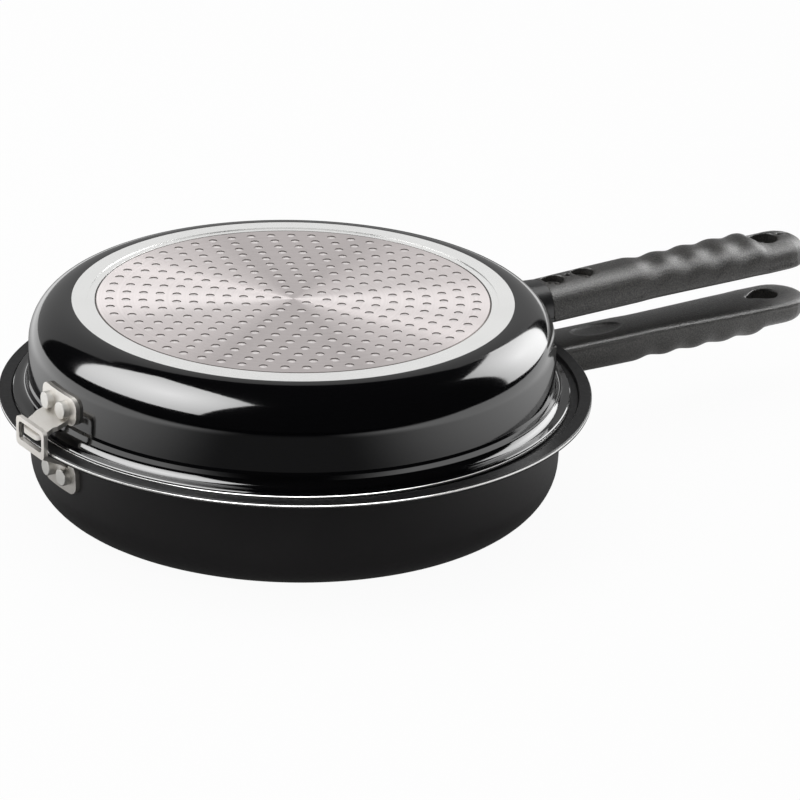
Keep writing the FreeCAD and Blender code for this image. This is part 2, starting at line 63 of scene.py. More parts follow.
# Camera, fitted to the photograph's circles
CAMERA_PLACE = (-0.9386, -1.4904, 0.7683)
CAMERA_HEADING = 33.74       # turned from +Y towards +X
CAMERA_DIP = 22.35           # how far it looks down
CAMERA_ROLL = 1.48
CAMERA_LENS = 189.0          # focal length in millimetres, on a sensor as wide as this:
SENSOR_WIDTH = 36.0

# Both pans, in each pan's own frame with its base at z = 0
WALL = 2.5 * MM
FLOOR = 4.0 * MM
BASE_SHOULDER = 34.7 * MM    # the lip reaches this far past the bare ring of the base
RING_WIDTH = 7.2 * MM
STEP_DEPTH = 0.35 * MM       # how far the narrow inner band and the disc lie above the ring
BAND_WIDTH = 3.4 * MM        # that band, up to the disc
DISC_THICKNESS = 0.6 * MM
DISC_GAP = 0.3 * MM          # joint line round the disc
INNER_CORNER = 17.0 * MM
MOUTH_ROUND = 2.6 * MM
LIP_ROUND = 0.3 * MM
EDGE_ROUND = 0.12 * MM       # the sharpest edges are rounded by this much
ARC_STEP = 6.0               # degrees of arc between two points of a rounded corner
TURN_STEPS = 288             # steps of every turned piece round its axis

# Lower pan
LIP_RADIUS = 134.0 * MM
LIP_REACH = 13.0 * MM
LIP_WIDTH = 5.7 * MM
LOWER_DEPTH = 50.5 * MM
LOWER_TAPER = 1.8 * MM
LEDGE_DROP = 1.6 * MM        # how far the ledge that carries the upper pan lies under the lip
LEDGE_SLOPE = 0.6 * MM

# Upper pan, which lies upside down on the ledge
UPPER_DEPTH = 43.8 * MM
UPPER_TAPER = 0.5 * MM
LID_PLAY = 2.5 * MM          # radial play of its rim inside the lip
LID_SHIFT = 2.0 * MM         # the hinge holds it this far off centre
SEAT_GAP = 0.3 * MM
RIM_HEIGHT = 2.9 * MM
FLARE_WIDTH = 6.9 * MM
FLARE_HEIGHT = 9.0 * MM
FLARE_STEP = 0.5 * MM        # small step line where the flare begins
FLARE_RUN = 1.5 * MM         # height over which that step is spread
FLARE_LEAN = 0.8 * MM
FLARE_ROUND = 4.0 * MM

# Bare band let into the edge of each rim
RIM_BEVEL = 0.4 * MM
LOWER_COAT = 0.1 * MM        # the enamel reaches this far on to the edge of each rim
UPPER_COAT = 0.6 * MM
BAND_DEPTH = 0.6 * MM
BAND_ROUND_SHARE = 0.45      # rounding of the band's face, as a share of its height

RING_RADIUS = LIP_RADIUS - BASE_SHOULDER
STEP_RADIUS = RING_RADIUS - RING_WIDTH
DISC_RADIUS = STEP_RADIUS - BAND_WIDTH
LIP_INNER = LIP_RADIUS - LIP_WIDTH
LEDGE_TOP = LOWER_DEPTH - LEDGE_DROP
UPPER_RIM = LIP_INNER - LID_PLAY
TOTAL_HEIGHT = LEDGE_TOP + SEAT_GAP + UPPER_DEPTH

# Edge of each rim: its radius, its lowest and highest z, and the reach of the enamel
LOWER_EDGE = (LIP_RADIUS, LOWER_DEPTH - WALL, LOWER_DEPTH, LOWER_COAT)
UPPER_EDGE = (UPPER_RIM, UPPER_DEPTH - RIM_HEIGHT, UPPER_DEPTH, UPPER_COAT)

# Finishes of the turned pans, by their place in the list of materials
ENAMEL = 0
INSIDE = 1

# Dimples of the base discs
DISC_BEVEL = 0.5 * MM
DIMPLE_RADIUS = 2.0 * MM
DIMPLE_DEPTH = 0.32 * MM
DIMPLE_EDGE = 0.12 * MM      # a dimple's floor is smaller than its mouth by this, in radius
DIMPLE_SIDES = 20
RING_PITCH = 7.5 * MM
DIMPLES_PER_RING = 5         # ring number k holds this many times k

# Finishes of a disc, by their place in the list of materials
DISC_FACE = 0
DIMPLE_FLOOR = 1
DISC_EDGE = 2                # side of the disc and walls of the dimples, darkened as painted shade

# Handles: rebuilt on a fine grid, smoothed a little all over and far more along the finger wells
HANDLE_VOXEL = 0.5 * MM
EDGE_SMOOTHINGS = 3
WELL_SMOOTHINGS = 130
WELLS = (192.0 * MM, 252.0 * MM)     # their first and last X
WELL_FADE = 8.0 * MM         # the strong smoothing fades out over this length past the wells

# Sockets of Blender's mix node that carry colours
MIX_LOW = 6
MIX_HIGH = 7
MIX_RESULT = 2

# Studio. Directions are (azimuth from +X, height above the horizon), seen from the aim.
AIM = Vector((0, 0, 0.07))
WORLD_STRENGTH = 0.55
FLOOR_REACH = 40.0
FLOOR_GLOW = 0.95            # share of plain white in what the camera sees of the floor

# What reflections see of the floor is a painted glow: dim at the object as a painted shadow, brighter to
# both of its sides, and dark further out on the side where the photograph was taken
TO_FRONT = (-0.5555, -0.8315, 0)
TO_SIDE = (0.8315, -0.5555, 0)
FLOOR_BRIGHT_REACH = (0.1, 0.34)
FLOOR_DARK_REACH = (0.32, 0.62)
FLOOR_DIM = 0.1
FLOOR_BRIGHT = 1.5

# Lamps by the pieces that mirror them: direction, distance, the direction that the lamp faces
# back along, roll, width, height and brightness. Those of "fill" show in no reflection.
LAMPS = {
    "black": (
        ((168, 49.5), 1.66, (150, 28), 14, 1.95, 1.7, 9.5),
        ((4, 25), 1.55, (4, 15), -14, 1.15, 1.25, 6.8),
    ),
    "metal": (
        ((150, 42), 1.66, (150, 28), 14, 1.6, 1.5, 1.9),
        ((8, 38), 1.55, (8, 30), 14, 0.7, 1.0, 4.0),
        ((56, 24), 1.6, (56, 24), 0, 2.2, 1.3, 0.5),
        ((-34, 30), 1.6, (-34, 30), 0, 2.0, 1.6, 0.8),
        ((-124, 30), 1.6, (-124, 30), 0, 2.0, 1.6, 0.8),
        ((-124, 88), 1.6, (-124, 88), 0, 2.0, 2.0, 0.7),
    ),
    "band": (
        ((-120, 40), 1.6, (-120, 40), 0, 3.0, 2.2, 3.6),
    ),
    "disc": (
        ((56, 30), 1.6, (56, 30), 0, 2.0, 2.2, 1.1),
        ((146, 30), 1.6, (146, 30), 0, 2.0, 1.6, 0.8),
        ((-34, 30), 1.6, (-34, 30), 0, 2.0, 1.6, 0.8),
        ((-124, 30), 1.6, (-124, 30), 0, 2.0, 1.6, 0.9),
        ((-124, 88), 1.6, (-124, 88), 0, 2.0, 2.0, 0.45),
        ((8, 25), 1.6, (8, 25), 0, 0.7, 0.7, 2.6),
        ((80, 13), 1.6, (80, 13), 0, 1.0, 0.5, 0.8),
    ),
    "handle": (
        ((-46, 45), 1.6, (-46, 45), 0, 0.8, 0.8, 12),
    ),
    "fill": (
        ((150, 50), 1.5, (150, 50), 0, 1.2, 1.2, 1.2),
        ((60, 75), 1.6, (60, 75), 0, 1.5, 1.5, 0.8),
    ),
}

# Words in the names of the pieces that mirror a group of lamps. What has none of them is black,
# and the handles mirror the black group too.
LAMP_WORDS = {
    "metal": ("ring", "band", "bracket", "hook", "rivet", "screw"),
    "band": ("band",),
    "disc": ("disc",),
    "handle": ("grained_handle",),
}

# Glow of a softbox's cloth in its middle, and a whole width away from there
CLOTH_SHARES = (1.18, 0.4)
CLOTH_MIDDLE_SHARES = (0.5, 0.5, 0)  # of its width and height

# Panels of a dome that only reflections see: both azimuths, both heights and glow
DOME_RADIUS = 3.0
PANEL_STEPS = 24
PANELS = (
    (-256, 30, -2, 90, 0.01),
    (30, 104, 46, 90, 0.01),
    (30, 104, -2, 46, 0.4),
)


# Meshes

def add_object(name, mesh):
    piece = bpy.data.objects.new(name, mesh)
    bpy.context.scene.collection.objects.link(piece)
    return piece


def mesh_piece(name, verts, faces, finishes, materials):
    """Object from a new mesh. Each face has a finish, its place in the list of materials."""
    mesh = bpy.data.meshes.new(name)
    mesh.from_pydata(verts, [], faces)
    for material in materials:
        mesh.materials.append(material)
    mesh.polygons.foreach_set("material_index", finishes)
    mesh.update()
    return add_object(name, mesh)


def shade_smooth(mesh):
    mesh.polygons.foreach_set("use_smooth", [True] * len(mesh.polygons))


# Turned pieces

def rounded_outline(corners):
    """Stretches (start, end, start normal, end normal, finish) of an outline of corners.

    A corner is (r, z, radius, finish). Its finish is that of its rounding and of what follows."""
    bends = []
    for i, (r, z, radius, finish) in enumerate(corners):
        here = Vector((r, z))
        if radius == 0:
            bends.append(([here], [None], finish))
            continue
        before = (Vector(corners[i - 1][:2]) - here).normalized()
        after = (Vector(corners[i + 1][:2]) - here).normalized()
        half = before.angle(after) / 2
        centre = here + (before + after).normalized() * (radius / math.sin(half))
        spoke = here + before * (radius / math.tan(half)) - centre
        turn = math.pi - 2 * half
        side = math.copysign(1, before.cross(after))
        steps = max(2, math.ceil(math.degrees(turn) / ARC_STEP))
        spokes = [Matrix.Rotation(-side * turn * step / steps, 2) @ spoke for step in range(steps + 1)]
        points = [centre + s for s in spokes]
        normals = [s.normalized() * -side for s in spokes]
        bends.append((points, normals, finish))
    stretches = []
    for i, (points, normals, finish) in enumerate(bends):
        for k in range(len(points) - 1):
            stretches.append((points[k], points[k + 1], normals[k], normals[k + 1], finish))
        if i + 1 == len(bends):
            break
        start = points[-1]
        end = bends[i + 1][0][0]
        along = (end - start).normalized()
        normal = Vector((along.y, -along.x))
        stretches.append((start, end, normal, normal, finish))
    return stretches


def spun(flat, step):
    """Point or normal (r, z) of an outline after some steps round the axis."""
    angle = math.tau * step / TURN_STEPS
    return Vector((flat.x * math.cos(angle), flat.x * math.sin(angle), flat.y))


def turned_piece(name, corners, place, materials):
    """Closed solid turned about Z, from an outline that ends where it starts or on the axis."""
    stretches = rounded_outline(corners)
    points = [stretches[0][0]] + [stretch[1] for stretch in stretches]
    is_ring = points[0].x > TINY
    verts = []
    rings = []
    for point in points[:-1] if is_ring else points:
        count = 1 if point.x < TINY else TURN_STEPS
        rings.append([len(verts) + step % count for step in range(TURN_STEPS)])
        verts += [place @ spun(point, step) for step in range(count)]
    if is_ring:
        rings.append(rings[0])
    faces = []
    normals = []
    finishes = []
    turn_only = place.to_3x3()
    for low, high, (_, _, low_normal, high_normal, finish) in zip(rings, rings[1:], stretches):
        for step in range(TURN_STEPS):
            after = (step + 1) % TURN_STEPS
            spots = (
                (low, step, low_normal),
                (low, after, low_normal),
                (high, after, high_normal),
                (high, step, high_normal),
            )
            face = []
            for ring, turn, normal in spots:
                if ring[turn] not in face:
                    face.append(ring[turn])
                    normals.append(turn_only @ spun(normal, turn))
            faces.append(face)
            finishes.append(finish)
    piece = mesh_piece(name, verts, faces, finishes, materials)
    shade_smooth(piece.data)
    piece.data.normals_split_custom_set(normals)
    return piece


# Outlines of the pans

def pan_outline(wall_radius, taper, wall_top, outer, mouth):
    """Whole outline of one pan: seat of the disc, bare ring, outside, rim, mouth and inside."""
    base_radius = wall_radius - taper
    lean = math.atan2(taper, wall_top)
    shoulder = (base_radius - RING_RADIUS) * math.tan(math.pi / 4 + lean / 2)
    floor_radius = wall_radius - taper * (1 - FLOOR / wall_top) - WALL
    base = [
        (0, STEP_DEPTH + DISC_THICKNESS, 0, ENAMEL),
        (RING_RADIUS, STEP_DEPTH + DISC_THICKNESS, 0, ENAMEL),
        (RING_RADIUS, 0, 0, ENAMEL),
        (base_radius, 0, shoulder, ENAMEL),
    ]
    inside = [(floor_radius, FLOOR, INNER_CORNER, INSIDE), (0, FLOOR, 0, INSIDE)]
    return base + outer + mouth + inside


def lower_pan_outline():
    wall_radius = LIP_RADIUS - LIP_REACH
    under_ledge = LEDGE_TOP - WALL
    under_lip = LOWER_DEPTH - WALL
    outer = [
        (wall_radius, under_ledge, MOUTH_ROUND, ENAMEL),
        (LIP_INNER - LEDGE_SLOPE, under_ledge, LIP_ROUND, ENAMEL),
        (LIP_INNER, under_lip, LIP_ROUND, ENAMEL),
    ] + rim_edge(*LOWER_EDGE)
    mouth = [
        (LIP_INNER, LOWER_DEPTH, LIP_ROUND, INSIDE),
        (LIP_INNER - LEDGE_SLOPE, LEDGE_TOP, LIP_ROUND, INSIDE),
        (wall_radius - WALL, LEDGE_TOP, MOUTH_ROUND, INSIDE),
    ]
    return pan_outline(wall_radius, LOWER_TAPER, under_ledge, outer, mouth)


def upper_pan_outline():
    wall_radius = UPPER_RIM - FLARE_WIDTH
    wall_top = UPPER_DEPTH - FLARE_HEIGHT
    stepped = wall_radius + FLARE_STEP
    outer = [
        (wall_radius, wall_top - FLARE_RUN / 2, LIP_ROUND, ENAMEL),
        (stepped, wall_top + FLARE_RUN / 2, LIP_ROUND, ENAMEL),
        (stepped + FLARE_LEAN, UPPER_DEPTH - RIM_HEIGHT, FLARE_ROUND, ENAMEL),
    ] + rim_edge(*UPPER_EDGE)
    mouth = [
        (stepped - WALL, UPPER_DEPTH, MOUTH_ROUND, INSIDE),
        (stepped - WALL, wall_top + FLARE_STEP, EDGE_ROUND, INSIDE),
        (wall_radius - WALL, wall_top, EDGE_ROUND, INSIDE),
    ]
    return pan_outline(wall_radius, UPPER_TAPER, wall_top, outer, mouth)


def rim_edge(radius, low, high, coat):
    """Edge of a rim with both of its corners broken and the groove of its bare band."""
    band_low, band_high = band_span(low, high, coat)
    return [
        (radius - RIM_BEVEL, low, EDGE_ROUND, ENAMEL),
        (radius, low + RIM_BEVEL, EDGE_ROUND, ENAMEL),
        (radius, band_low, 0, ENAMEL),
        (radius - BAND_DEPTH, band_low, 0, ENAMEL),
        (radius - BAND_DEPTH, band_high, 0, INSIDE),
        (radius, band_high, 0, INSIDE),
        (radius, high - RIM_BEVEL, EDGE_ROUND, INSIDE),
        (radius - RIM_BEVEL, high, EDGE_ROUND, INSIDE),
    ]


def band_span(low, high, coat):
    """Lowest and highest z of the bare band on a rim's edge."""
    return low + RIM_BEVEL + coat, high - RIM_BEVEL - EDGE_ROUND


def bare_band_outline(radius, low, high, coat):
    """Bare band let into the edge of a rim, where neither coating reaches."""
    band_low, band_high = band_span(low, high, coat)
    bulge = BAND_ROUND_SHARE * (band_high - band_low)
    return [
        (radius - BAND_DEPTH, band_low, 0, 0),
        (radius, band_low, bulge, 0),
        (radius, band_high, bulge, 0),
        (radius - BAND_DEPTH, band_high, 0, 0),
        (radius - BAND_DEPTH, band_low, 0, 0),
    ]


def bare_ring_outline():
    """Bare ring round the disc, with the small step down to the disc's seat."""
    seat = DISC_RADIUS + DISC_GAP
    back = STEP_DEPTH + DISC_THICKNESS
    return [
        (seat, back, 0, 0),
        (seat, STEP_DEPTH, EDGE_ROUND, 0),
        (STEP_RADIUS, STEP_DEPTH, EDGE_ROUND, 0),
        (STEP_RADIUS, 0, EDGE_ROUND, 0),
        (RING_RADIUS, 0, 0, 0),
        (RING_RADIUS, back, 0, 0),
        (seat, back, 0, 0),
    ]


# Dimpled discs

def circle(centre, radius, sides):
    angles = [math.tau * k / sides for k in range(sides)]
    return [centre + radius * Vector((math.cos(angle), math.sin(angle))) for angle in angles]


def circle_edges(first, sides):
    """Edges round a circle whose points are numbered from the first one on."""
    return [(first + k, first + (k + 1) % sides) for k in range(sides)]


def add_circle(verts, centre, radius, sides, z):
    """Adds the points of a level circle and returns their numbers."""
    first = len(verts)
    verts += [Vector((p.x, p.y, z)) for p in circle(centre, radius, sides)]
    return range(first, first + sides)


def faces_between(circle_a, circle_b):
    """Band of faces between two circles, given by the numbers of their points."""
    sides = len(circle_a)
    faces = []
    for k in range(sides):
        after = (k + 1) % sides
        faces.append((circle_a[k], circle_a[after], circle_b[after], circle_b[k]))
    return faces


def dimple_places():
    """Centres of the dimples: ring k lies k pitches out and holds five times k dimples."""
    places = []
    for ring in range(1, int((DISC_RADIUS - DIMPLE_RADIUS) / RING_PITCH) + 1):
        places += circle(Vector((0, 0)), ring * RING_PITCH, DIMPLES_PER_RING * ring)
    return places


def disc_face(places):
    """Points and triangles of a disc's flat face, with a hole for every dimple.

    The outline's points come first, and after them those of each hole in turn."""
    points = circle(Vector((0, 0)), DISC_RADIUS - DISC_BEVEL, TURN_STEPS)
    edges = circle_edges(0, TURN_STEPS)
    for centre in places:
        edges += circle_edges(len(points), DIMPLE_SIDES)
        points += circle(centre, DIMPLE_RADIUS, DIMPLE_SIDES)
    flat, _, triangles, _, _, _ = delaunay_2d_cdt(points, edges, [], 0, TINY)
    holes = KDTree(len(places))
    for i, centre in enumerate(places):
        holes.insert(centre.to_3d(), i)
    holes.balance()
    hole_reach = DIMPLE_RADIUS * math.cos(math.pi / DIMPLE_SIDES) - TINY
    faces = []
    for triangle in triangles:
        middle = sum((flat[k] for k in triangle), Vector((0, 0))) / len(triangle)
        _, _, distance = holes.find(middle.to_3d())
        if distance > hole_reach:
            faces.append(list(reversed(triangle)))
    return flat, faces


def disc_piece(name, place, materials):
    """Induction disc with round dimples. Its face looks along -Z of the pan's own frame."""
    places = dimple_places()
    flat, faces = disc_face(places)
    verts = [Vector((p.x, p.y, STEP_DEPTH)) for p in flat]
    finishes = [DISC_FACE] * len(faces)
    edge = range(TURN_STEPS)
    for z in (STEP_DEPTH + DISC_BEVEL, STEP_DEPTH + DISC_THICKNESS):
        above = add_circle(verts, Vector((0, 0)), DISC_RADIUS, TURN_STEPS, z)
        faces += faces_between(edge, above)
        edge = above
    faces.append(list(edge))
    finishes += [DISC_EDGE] * (len(faces) - len(finishes))
    dimple_z = STEP_DEPTH + DIMPLE_DEPTH
    for i, centre in enumerate(places):
        first = TURN_STEPS + i * DIMPLE_SIDES
        mouth = range(first, first + DIMPLE_SIDES)
        bottom = add_circle(verts, centre, DIMPLE_RADIUS - DIMPLE_EDGE, DIMPLE_SIDES, dimple_z)
        faces += faces_between(bottom, mouth)
        faces.append(list(reversed(bottom)))
        finishes += [DISC_EDGE] * DIMPLE_SIDES + [DIMPLE_FLOOR]
    return mesh_piece(name, [place @ v for v in verts], faces, finishes, materials)


# Handles

def evaluated_mesh(piece):
    """Mesh of a piece with its modifiers applied."""
    depsgraph = bpy.context.evaluated_depsgraph_get()
    return bpy.data.meshes.new_from_object(piece.evaluated_get(depsgraph))


def softened_handle(name, node):
    """The handle with its edges rounded and its finger wells blended, as moulding leaves them."""
    piece = add_object(name, frame["nodes"][node].data.copy())
    remesh = piece.modifiers.new("remesh", "REMESH")
    remesh.mode = "VOXEL"
    remesh.voxel_size = HANDLE_VOXEL
    piece.data = evaluated_mesh(piece)
    piece.modifiers.clear()
    wells = piece.vertex_groups.new(name="wells")
    first, last = WELLS
    for vertex in piece.data.vertices:
        past = max(first - vertex.co.x, vertex.co.x - last, 0)
        wells.add([vertex.index], max(1 - past / WELL_FADE, 0), "REPLACE")
    for group, rounds in (("", EDGE_SMOOTHINGS), ("wells", WELL_SMOOTHINGS)):
        smooth = piece.modifiers.new("smooth", "SMOOTH")
        smooth.vertex_group = group
        smooth.iterations = rounds
    mesh = evaluated_mesh(piece)
    shade_smooth(mesh)
    piece.modifiers.clear()
    piece.vertex_groups.clear()
    piece.data = mesh
    return piece


# Nodes of materials, lamps and the world. The owner is what holds the node tree.

def add_node(owner, kind, **values):
    node = owner.node_tree.nodes.new(kind)
    for name, value in values.items():
        if name in node.inputs:
            node.inputs[name].default_value = value
        else:
            setattr(node, name, value)
    return node


def link(owner, source, target):
    owner.node_tree.links.new(source, target)


def calculated(owner, operation, *values):
    """Result of a math node whose inputs are linked or plain numbers."""
    node = add_node(owner, "ShaderNodeMath", operation=operation)
    for socket, value in zip(node.inputs, values):
        if isinstance(value, float):
            socket.default_value = value
        else:
            link(owner, value, socket)
    return node.outputs[0]


def stretched(owner, value, low, high, span=(0.0, 1.0), blend="LINEAR"):
    """Maps a value within a span to low..high."""
    node = add_node(owner, "ShaderNodeMapRange", interpolation_type=blend)
    node.inputs["From Min"].default_value = span[0]
    node.inputs["From Max"].default_value = span[1]
    node.inputs["To Min"].default_value = low
    node.inputs["To Max"].default_value = high
    link(owner, value, node.inputs["Value"])
    return node.outputs["Result"]


def mixed_shader(owner, share, first, second):
    node = add_node(owner, "ShaderNodeMixShader")
    for socket, source in zip(node.inputs, (share, first, second)):
        link(owner, source, socket)
    return node.outputs[0]


def object_coordinates(owner):
    return add_node(owner, "ShaderNodeTexCoord").outputs["Object"]


def noise(owner, scale, detail=2.0, roughness=0.5):
    """Noise whose scale is in features to the metre."""
    node = add_node(owner, "ShaderNodeTexNoise", Scale=scale, Detail=detail, Roughness=roughness)
    link(owner, object_coordinates(owner), node.inputs["Vector"])
    return node.outputs["Fac"]


def speckle(owner, scale):
    """Rounded specks: 1 in the middle of each and less towards its edge."""
    node = add_node(owner, "ShaderNodeTexVoronoi", Scale=scale, Randomness=1.0)
    link(owner, object_coordinates(owner), node.inputs["Vector"])
    return stretched(owner, node.outputs["Distance"], low=1.0, high=0.0)


def spun_lines(owner, scale):
    """Fine concentric lines round the pan's axis, as height from 0 to 1."""
    split = add_node(owner, "ShaderNodeSeparateXYZ")
    link(owner, object_coordinates(owner), split.inputs[0])
    flat = add_node(owner, "ShaderNodeCombineXYZ")
    link(owner, split.outputs["X"], flat.inputs["X"])
    link(owner, split.outputs["Y"], flat.inputs["Y"])
    length = add_node(owner, "ShaderNodeVectorMath", operation="LENGTH")
    link(owner, flat.outputs[0], length.inputs[0])
    lines = add_node(owner, "ShaderNodeTexNoise", noise_dimensions="1D", Scale=scale, Detail=3.0)
    link(owner, length.outputs["Value"], lines.inputs["W"])
    return lines.outputs["Fac"]


# Materials

def new_material(name, color, roughness, metallic=0.0, **sockets):
    """Principled material whose shader-wide values are set on the shader's own sockets."""
    material = bpy.data.materials.new(name)
    material.use_nodes = True
    shader = material.node_tree.nodes["Principled BSDF"]
    shader.inputs["Base Color"].default_value = (*color, 1)
    shader.inputs["Roughness"].default_value = roughness
    shader.inputs["Metallic"].default_value = metallic
    for socket, value in sockets.items():
        shader.inputs[socket.replace("_", " ")].default_value = value
    return material, shader


def vary_color(material, shader, value, low, high):
    node = add_node(material, "ShaderNodeMix", data_type="RGBA")
    link(material, value, node.inputs["Factor"])
    node.inputs[MIX_LOW].default_value = (*low, 1)
    node.inputs[MIX_HIGH].default_value = (*high, 1)
    link(material, node.outputs[MIX_RESULT], shader.inputs["Base Color"])


def vary_roughness(material, shader, value, low, high):
    link(material, stretched(material, value, low, high), shader.inputs["Roughness"])


def add_bump(material, shader, height, distance, strength):
    node = add_node(material, "ShaderNodeBump", Strength=strength, Distance=distance)
    link(material, height, node.inputs["Height"])
    link(material, node.outputs["Normal"], shader.inputs["Normal"])


def spin_gloss(material, shader):
    """Lets the stretched gloss of a spun metal run round the pan's axis."""
    tangent = add_node(material, "ShaderNodeTangent", direction_type="RADIAL", axis="Z")
    link(material, tangent.outputs[0], shader.inputs["Tangent"])


def gloss_enamel():
    material, shader = new_material(
        "gloss_enamel_black", color=(0.002, 0.002, 0.0025), roughness=0.07, Specular_IOR_Level=0.8)
    vary_roughness(material, shader, noise(material, scale=60), low=0.05, high=0.11)
    add_bump(material, shader, noise(material, scale=350, detail=3), distance=0.02 * MM, strength=0.35)
    return material


def satin_enamel():
    material, shader = new_material(
        "satin_enamel_black", color=(0.012, 0.012, 0.013), roughness=0.36, Specular_IOR_Level=0.32)
    vary_color(material, shader, noise(material, scale=30),
               low=(0.0140, 0.0132, 0.0138), high=(0.0200, 0.0188, 0.0196))
    vary_roughness(material, shader, noise(material, scale=500, detail=4), low=0.30, high=0.42)
    add_bump(material, shader, noise(material, scale=900, detail=3), distance=0.03 * MM, strength=0.4)
    return material


def inside_coating():
    material, shader = new_material(
        "inside_coating_dark", color=(0.02, 0.02, 0.021), roughness=0.42, Specular_IOR_Level=0.2)
    vary_color(material, shader, speckle(material, scale=900),
               low=(0.005, 0.005, 0.0055), high=(0.018, 0.018, 0.019))
    vary_roughness(material, shader, noise(material, scale=400), low=0.34, high=0.5)
    add_bump(material, shader, noise(material, scale=1200, detail=3), distance=0.03 * MM, strength=0.4)
    return material


def bare_aluminium():
    material, shader = new_material(
        "bare_turned_aluminium", color=(0.82, 0.82, 0.81), roughness=0.25, metallic=1.0,
        Anisotropic=0.3, Anisotropic_Rotation=0.25)
    spin_gloss(material, shader)
    vary_color(material, shader, noise(material, scale=40, detail=3),
               low=(0.78, 0.78, 0.77), high=(0.86, 0.86, 0.85))
    vary_roughness(material, shader, noise(material, scale=200, detail=3), low=0.22, high=0.29)
    add_bump(material, shader, spun_lines(material, scale=6000), distance=0.01 * MM, strength=0.5)
    return material


def disc_steel():
    material, shader = new_material(
        "disc_spun_steel", color=(0.52, 0.48, 0.475), roughness=0.4, metallic=1.0,
        Anisotropic=1.0, Anisotropic_Rotation=0.25)
    spin_gloss(material, shader)
    vary_color(material, shader, spun_lines(material, scale=900),
               low=(0.48, 0.44, 0.435), high=(0.57, 0.53, 0.525))
    add_bump(material, shader, spun_lines(material, scale=5000), distance=0.04 * MM, strength=0.6)
    return material


def dimple_metal():
    material, shader = new_material(
        "dimple_aluminium", color=(0.5, 0.47, 0.465), roughness=0.36, metallic=1.0)
    vary_roughness(material, shader, noise(material, scale=1500), low=0.32, high=0.42)
    add_bump(material, shader, noise(material, scale=2500), distance=0.04 * MM, strength=0.5)
    return material


def dimple_wall_metal():
    # Dark base colour: painted shade on the walls of the dimples and on the side of the disc
    material, shader = new_material(
        "dimple_cut_edge", color=(0.2, 0.18, 0.17), roughness=0.4, metallic=1.0)
    vary_roughness(material, shader, noise(material, scale=2000), low=0.35, high=0.5)
    return material


def pressed_steel():
    material, shader = new_material(
        "hinge_pressed_steel", color=(0.76, 0.73, 0.69), roughness=0.42, metallic=1.0)
    vary_color(material, shader, noise(material, scale=120, detail=3),
               low=(0.70, 0.67, 0.62), high=(0.82, 0.80, 0.77))
    vary_roughness(material, shader, noise(material, scale=300, detail=4), low=0.36, high=0.5)
    add_bump(material, shader, noise(material, scale=500, detail=3), distance=0.02 * MM, strength=0.4)
    return material


def rivet_metal():
    material, shader = new_material(
        "rivet_aluminium", color=(0.80, 0.79, 0.76), roughness=0.45, metallic=1.0)
    vary_color(material, shader, noise(material, scale=200, detail=3),
               low=(0.70, 0.69, 0.66), high=(0.82, 0.81, 0.78))
    vary_roughness(material, shader, noise(material, scale=500, detail=3), low=0.38, high=0.52)
    add_bump(material, shader, noise(material, scale=700, detail=3), distance=0.02 * MM, strength=0.4)
    return material


def screw_steel():
    material, shader = new_material(
        "screw_dark_steel", color=(0.32, 0.31, 0.30), roughness=0.35, metallic=1.0)
    vary_roughness(material, shader, noise(material, scale=800, detail=3), low=0.28, high=0.45)
    return material


def phenolic():
    """Black moulding compound whose fine grain shows as lighter, glossier specks."""
    material, shader = new_material(
        "handle_grained_black", color=(0.012, 0.012, 0.012), roughness=0.5, Specular_IOR_Level=0.5)
    grain = noise(material, scale=1400, detail=3, roughness=0.6)
    specks = stretched(material, grain, low=-1.2, high=2.2)
    vary_color(material, shader, specks, low=(0.003, 0.003, 0.003), high=(0.05, 0.047, 0.042))
    vary_roughness(material, shader, grain, low=0.48, high=0.24)
    add_bump(material, shader, grain, distance=0.3 * MM, strength=0.7)
    return material


def collar_coat():
    material, shader = new_material(
        "collar_smooth_black", color=(0.008, 0.008, 0.009), roughness=0.3)
    vary_roughness(material, shader, noise(material, scale=300, detail=3), low=0.24, high=0.36)
    add_bump(material, shader, noise(material, scale=900, detail=3), distance=0.03 * MM, strength=0.4)
    return material


# Pieces

def stand_in(piece, side, node):
    """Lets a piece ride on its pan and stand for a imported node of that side."""
    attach(piece, side + "_pan")
    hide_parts(side + "_" + node)


def make_pans():
    turned_over = Matrix.Translation((-LID_SHIFT, 0, TOTAL_HEIGHT)) @ Matrix.Rotation(math.pi, 4, "X")
    pans = {
        "lower": (lower_pan_outline(), LOWER_EDGE, Matrix.Identity(4), satin_enamel(), "satin_enamel"),
        "upper": (upper_pan_outline(), UPPER_EDGE, turned_over, gloss_enamel(), "gloss_enamel"),
    }
    inside = inside_coating()
    bare = bare_aluminium()
    disc_finishes = [disc_steel(), dimple_metal(), dimple_wall_metal()]
    for side, (outline, edge, place, enamel, slot) in pans.items():
        shell = turned_piece(side + "_pan_shell", outline, place, [enamel, inside])
        stand_in(shell, side, "pan_body")
        ring = turned_piece(side + "_bare_ring", bare_ring_outline(), place, [bare])
        stand_in(ring, side, "pan_body")
        band = turned_piece(side + "_bare_band", bare_band_outline(*edge), place, [bare])
        stand_in(band, side, "pan_body")
        disc = disc_piece(side + "_dimpled_disc", place, disc_finishes)
        stand_in(disc, side, "induction_disc")


def make_handles():
    finish = phenolic()
    for side in ("lower", "upper"):
        handle = softened_handle(side + "_grained_handle", side + "_handle")
        handle.data.materials.clear()
        handle.data.materials.append(finish)
        stand_in(handle, side, "handle")


def dress_nodes():
    """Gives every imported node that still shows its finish, by the first word that its name has."""
    steel = pressed_steel()
    finishes = {
        "rivet": rivet_metal(),
        "screw": screw_steel(),
        "collar": collar_coat(),
        "bracket": steel,
        "hook": steel,
    }
    for name, node in frame["nodes"].items():
        for word, finish in finishes.items():
            if word in name:
                for slot in node.material_slots:
                    slot.material = finish
                break


# Studio

